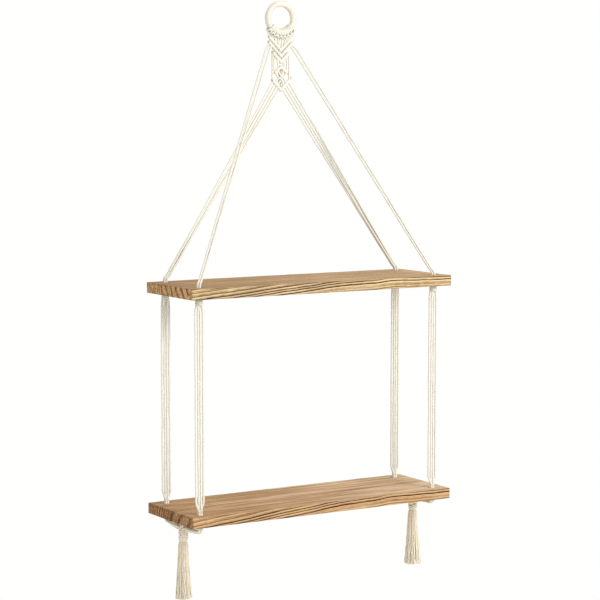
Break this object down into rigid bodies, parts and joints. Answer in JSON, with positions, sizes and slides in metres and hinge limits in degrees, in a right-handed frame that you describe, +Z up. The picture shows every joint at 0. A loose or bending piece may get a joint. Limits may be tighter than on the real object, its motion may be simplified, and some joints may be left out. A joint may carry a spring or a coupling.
{
  "type": "hanging rope shelf",
  "caption": "Two-tier wall shelf: wooden boards hung from a wooden ring by knotted cotton cords, with a knotted neck and a tassel under each end of the lower board.",
  "frame": {"origin": "seat of the hook: the highest point of the hole in the hanging ring, halfway through the ring's thickness", "axes": "+Z up, +X to the right seen from the room, +Y towards the wall that the shelf hangs on"},
  "size_m": [0.42, 0.13, 0.8183],
  "materials": {
    "ring_wood": "turned pale hardwood, lightly waxed",
    "cotton_cord": "twisted natural cotton cord",
    "board_wood": "stained softwood board, satin, with dark streaks of grain"
  },
  "bodies": {
    "ring": {"hanging_ring": "ring_wood"},
    "folds": {"larks_head_1": "cotton_cord", "larks_head_2": "cotton_cord", "larks_head_3": "cotton_cord", "larks_head_4": "cotton_cord", "larks_head_5": "cotton_cord", "larks_head_6": "cotton_cord", "larks_head_7": "cotton_cord", "larks_head_8": "cotton_cord"},
    "upper_tier": {"collar_cords": "cotton_cord", "v_row_upper_left": "cotton_cord", "v_row_upper_right": "cotton_cord", "v_row_middle_left": "cotton_cord", "v_row_middle_right": "cotton_cord", "v_row_lower_left": "cotton_cord", "v_row_lower_right": "cotton_cord", "neck_cords_left": "cotton_cord", "neck_cords_right": "cotton_cord", "diamond_row_upper_left": "cotton_cord", "diamond_row_upper_right": "cotton_cord", "diamond_row_lower_left": "cotton_cord", "diamond_row_lower_right": "cotton_cord", "square_knot": "cotton_cord", "sling_front_left": "cotton_cord", "sling_front_right": "cotton_cord", "sling_back_left": "cotton_cord", "sling_back_right": "cotton_cord", "upper_board": "board_wood"},
    "knot_front_left": {"stop_knot_front_left": "cotton_cord"},
    "knot_front_right": {"stop_knot_front_right": "cotton_cord"},
    "knot_back_left": {"stop_knot_back_left": "cotton_cord"},
    "knot_back_right": {"stop_knot_back_right": "cotton_cord"},
    "leg_front_left": {"leg_front_left": "cotton_cord"},
    "leg_front_right": {"leg_front_right": "cotton_cord"},
    "leg_back_left": {"leg_back_left": "cotton_cord"},
    "leg_back_right": {"leg_back_right": "cotton_cord"},
    "leg_end_front_left": {"leg_end_front_left": "cotton_cord"},
    "lower_tier": {"leg_end_front_right": "cotton_cord", "leg_end_back_left": "cotton_cord", "leg_end_back_right": "cotton_cord", "lower_board": "board_wood", "board_pass_front_left": "cotton_cord", "board_pass_front_right": "cotton_cord", "board_pass_back_left": "cotton_cord", "board_pass_back_right": "cotton_cord"},
    "strap_loop_left": {"strap_front_left": "cotton_cord", "strap_back_left": "cotton_cord", "gathering_knot_left": "cotton_cord"},
    "strap_loop_right": {"strap_front_right": "cotton_cord", "strap_back_right": "cotton_cord", "gathering_knot_right": "cotton_cord"},
    "tassel_left": {"tassel_left": "cotton_cord"},
    "tassel_right": {"tassel_right": "cotton_cord"}
  },
  "joints": [
    {"name": "side_swing", "type": "hinge", "parent": "ring", "child": "folds", "pos_m": [0, 0, -0.016], "axis": [0, 1, 0], "range_deg": [-15, 15]},
    {"name": "wall_swing", "type": "hinge", "parent": "folds", "child": "upper_tier", "pos_m": [0, 0, -0.0445], "axis": [-1, 0, 0], "range_deg": [0, 15]},
    {"name": "lower_side_sway", "type": "hinge", "parent": "upper_tier", "child": "knot_front_left", "pos_m": [-0.19, -0.105, -0.3976], "axis": [0, 1, 0], "range_deg": [-12, 12]},
    {"name": "side_sway_front_right", "type": "hinge", "parent": "upper_tier", "child": "knot_front_right", "pos_m": [0.19, -0.105, -0.3976], "axis": [0, 1, 0], "range_deg": [-12, 12]},
    {"name": "side_sway_back_left", "type": "hinge", "parent": "upper_tier", "child": "knot_back_left", "pos_m": [-0.19, -0.009, -0.3976], "axis": [0, 1, 0], "range_deg": [-12, 12]},
    {"name": "side_sway_back_right", "type": "hinge", "parent": "upper_tier", "child": "knot_back_right", "pos_m": [0.19, -0.009, -0.3976], "axis": [0, 1, 0], "range_deg": [-12, 12]},
    {"name": "lower_out_sway", "type": "hinge", "parent": "knot_front_left", "child": "leg_front_left", "pos_m": [-0.19, -0.105, -0.3976], "axis": [-1, 0, 0], "range_deg": [0, 12]},
    {"name": "out_sway_front_right", "type": "hinge", "parent": "knot_front_right", "child": "leg_front_right", "pos_m": [0.19, -0.105, -0.3976], "axis": [-1, 0, 0], "range_deg": [0, 12]},
    {"name": "out_sway_back_left", "type": "hinge", "parent": "knot_back_left", "child": "leg_back_left", "pos_m": [-0.19, -0.009, -0.3976], "axis": [-1, 0, 0], "range_deg": [0, 12]},
    {"name": "out_sway_back_right", "type": "hinge", "parent": "knot_back_right", "child": "leg_back_right", "pos_m": [0.19, -0.009, -0.3976], "axis": [-1, 0, 0], "range_deg": [0, 12]},
    {"name": "lower_out_level", "type": "hinge", "parent": "leg_front_left", "child": "leg_end_front_left", "pos_m": [-0.19, -0.105, -0.681], "axis": [-1, 0, 0], "range_deg": [-12, 0]},
    {"name": "lower_side_level", "type": "hinge", "parent": "leg_end_front_left", "child": "lower_tier", "pos_m": [-0.19, -0.105, -0.681], "axis": [0, 1, 0], "range_deg": [-12, 12]},
    {"name": "tassel_side_swing_left", "type": "hinge", "parent": "lower_tier", "child": "strap_loop_left", "pos_m": [-0.19, -0.057, -0.70585], "axis": [0, 1, 0], "range_deg": [-20, 20]},
    {"name": "tassel_side_swing_right", "type": "hinge", "parent": "lower_tier", "child": "strap_loop_right", "pos_m": [0.19, -0.057, -0.70585], "axis": [0, 1, 0], "range_deg": [-20, 20]},
    {"name": "tassel_nod_left", "type": "hinge", "parent": "strap_loop_left", "child": "tassel_left", "pos_m": [-0.19, -0.057, -0.725], "axis": [1, 0, 0], "range_deg": [-20, 20]},
    {"name": "tassel_nod_right", "type": "hinge", "parent": "strap_loop_right", "child": "tassel_right", "pos_m": [0.19, -0.057, -0.721], "axis": [1, 0, 0], "range_deg": [-20, 20]}
  ],
  "couplings": [
    {"joint": "side_sway_front_right", "follows": "lower_side_sway", "ratio": 1},
    {"joint": "side_sway_back_left", "follows": "lower_side_sway", "ratio": 1},
    {"joint": "side_sway_back_right", "follows": "lower_side_sway", "ratio": 1},
    {"joint": "lower_side_level", "follows": "lower_side_sway", "ratio": -1},
    {"joint": "out_sway_front_right", "follows": "lower_out_sway", "ratio": 1},
    {"joint": "out_sway_back_left", "follows": "lower_out_sway", "ratio": 1},
    {"joint": "out_sway_back_right", "follows": "lower_out_sway", "ratio": 1},
    {"joint": "lower_out_level", "follows": "lower_out_sway", "ratio": -1}
  ]
}
